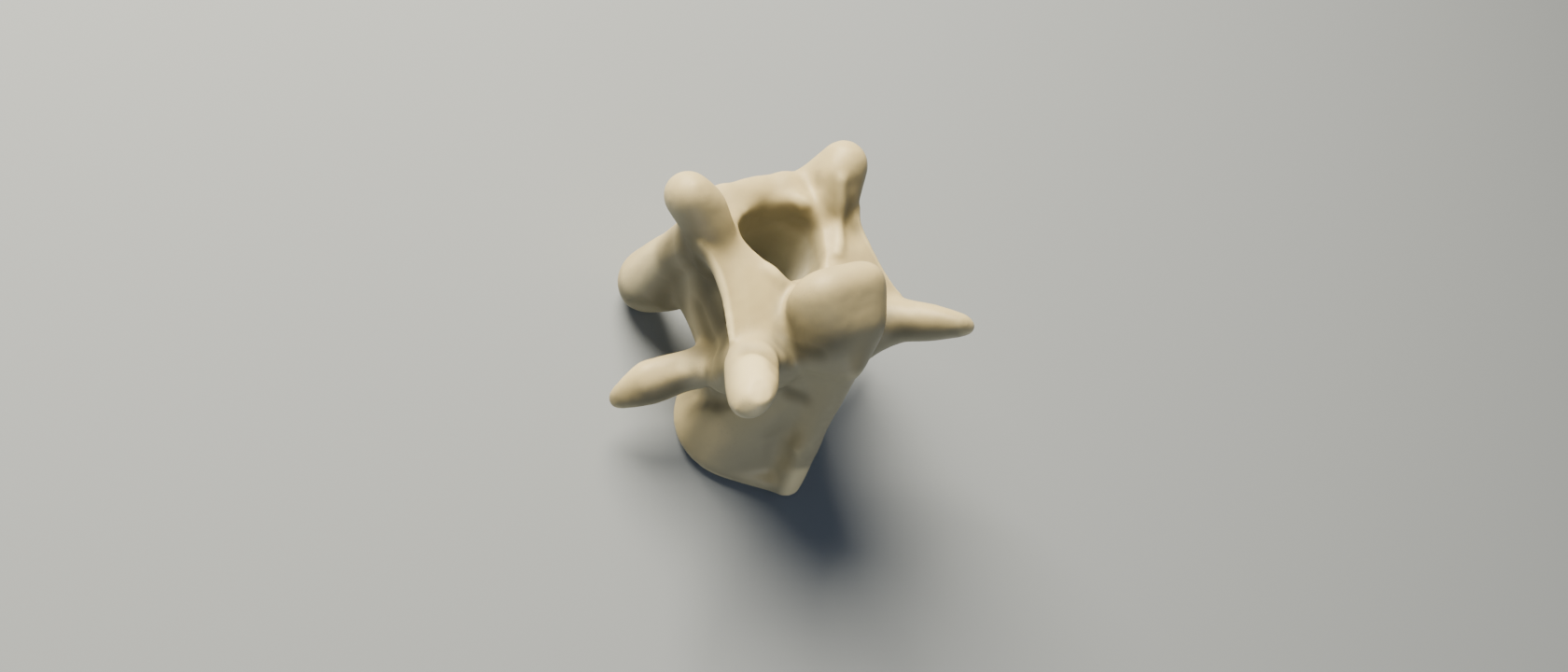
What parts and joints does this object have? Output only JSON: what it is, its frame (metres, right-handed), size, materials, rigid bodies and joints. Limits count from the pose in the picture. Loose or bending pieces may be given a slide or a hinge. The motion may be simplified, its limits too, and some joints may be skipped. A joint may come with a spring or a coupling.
{
  "type": "horse cervical vertebra",
  "caption": "Single dry neck vertebra of a horse, standing on its caudal end as a still, life-size bone model.",
  "frame": {"origin": "middle of the box round the bone, on the surface it stands on", "axes": "+Z to the cranial end, +Y dorsal, +X to the animal's left"},
  "size_m": [0.1286, 0.1126, 0.1079],
  "materials": {
    "bone": "matte, slightly waxy dry bone"
  },
  "bodies": {
    "root": {"vertebra": "bone"}
  },
  "joints": []
}
